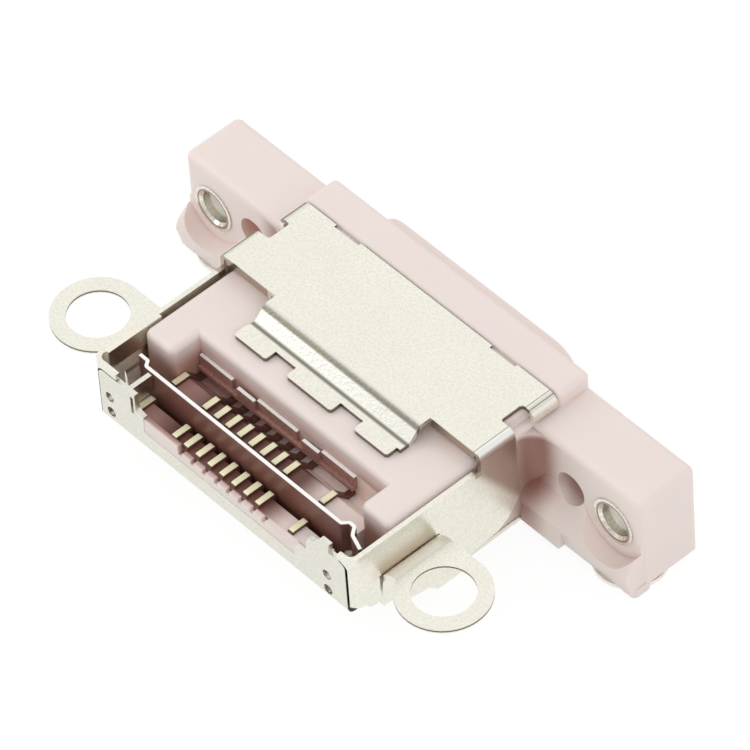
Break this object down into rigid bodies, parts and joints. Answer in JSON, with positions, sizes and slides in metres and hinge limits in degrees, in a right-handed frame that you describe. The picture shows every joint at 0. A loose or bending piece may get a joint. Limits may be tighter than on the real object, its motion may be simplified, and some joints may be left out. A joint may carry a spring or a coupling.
{
  "type": "usb-c socket",
  "caption": "Mid-mount USB-C receptacle: moulded body with two screw wings, stamped metal cover with side ring lugs, gold solder tails in an open well behind the mouth.",
  "frame": {"origin": "middle of the underside of the whole part, on the plane of the wing pads", "axes": "+Y the way the mouth looks, +Z towards the side of the cover plate, +X across the mouth"},
  "size_m": [0.0222, 0.0114, 0.0049],
  "materials": {
    "housing_plastic": "pale pink moulded liquid-crystal polymer, satin",
    "carrier_plastic": "pale pink moulded liquid-crystal polymer, satin",
    "steel_shell": "drawn stainless tube",
    "steel_shield": "stamped stainless, sheared edges",
    "nickel_cover": "nickel-plated strip with a fine matte grain",
    "strip_metal": "nickel-plated copper alloy strip",
    "bushing_metal": "turned and nickel plated",
    "pad_metal": "nickel-plated disc",
    "contact_gold": "gold-plated copper alloy"
  },
  "bodies": {
    "root": {"housing": "housing_plastic", "tongue_carrier": "carrier_plastic", "mouth_shell": "steel_shell", "mid_shield": "steel_shield", "top_cover": "nickel_cover", "bottom_cover": "nickel_cover", "power_strip_upper": "strip_metal", "power_strip_lower": "strip_metal", "bushing_left": "bushing_metal", "bushing_right": "bushing_metal", "wing_pad_left": "pad_metal", "wing_pad_right": "pad_metal", "contact_upper_1": "contact_gold", "contact_upper_2": "contact_gold", "contact_upper_3": "contact_gold", "contact_upper_4": "contact_gold", "contact_upper_5": "contact_gold", "contact_upper_6": "contact_gold", "contact_upper_7": "contact_gold", "contact_upper_8": "contact_gold", "contact_upper_9": "contact_gold", "contact_upper_10": "contact_gold", "contact_lower_1": "contact_gold", "contact_lower_2": "contact_gold", "contact_lower_3": "contact_gold", "contact_lower_4": "contact_gold", "contact_lower_5": "contact_gold", "contact_lower_6": "contact_gold", "contact_lower_7": "contact_gold", "contact_lower_8": "contact_gold", "contact_lower_9": "contact_gold", "contact_lower_10": "contact_gold"}
  },
  "joints": []
}
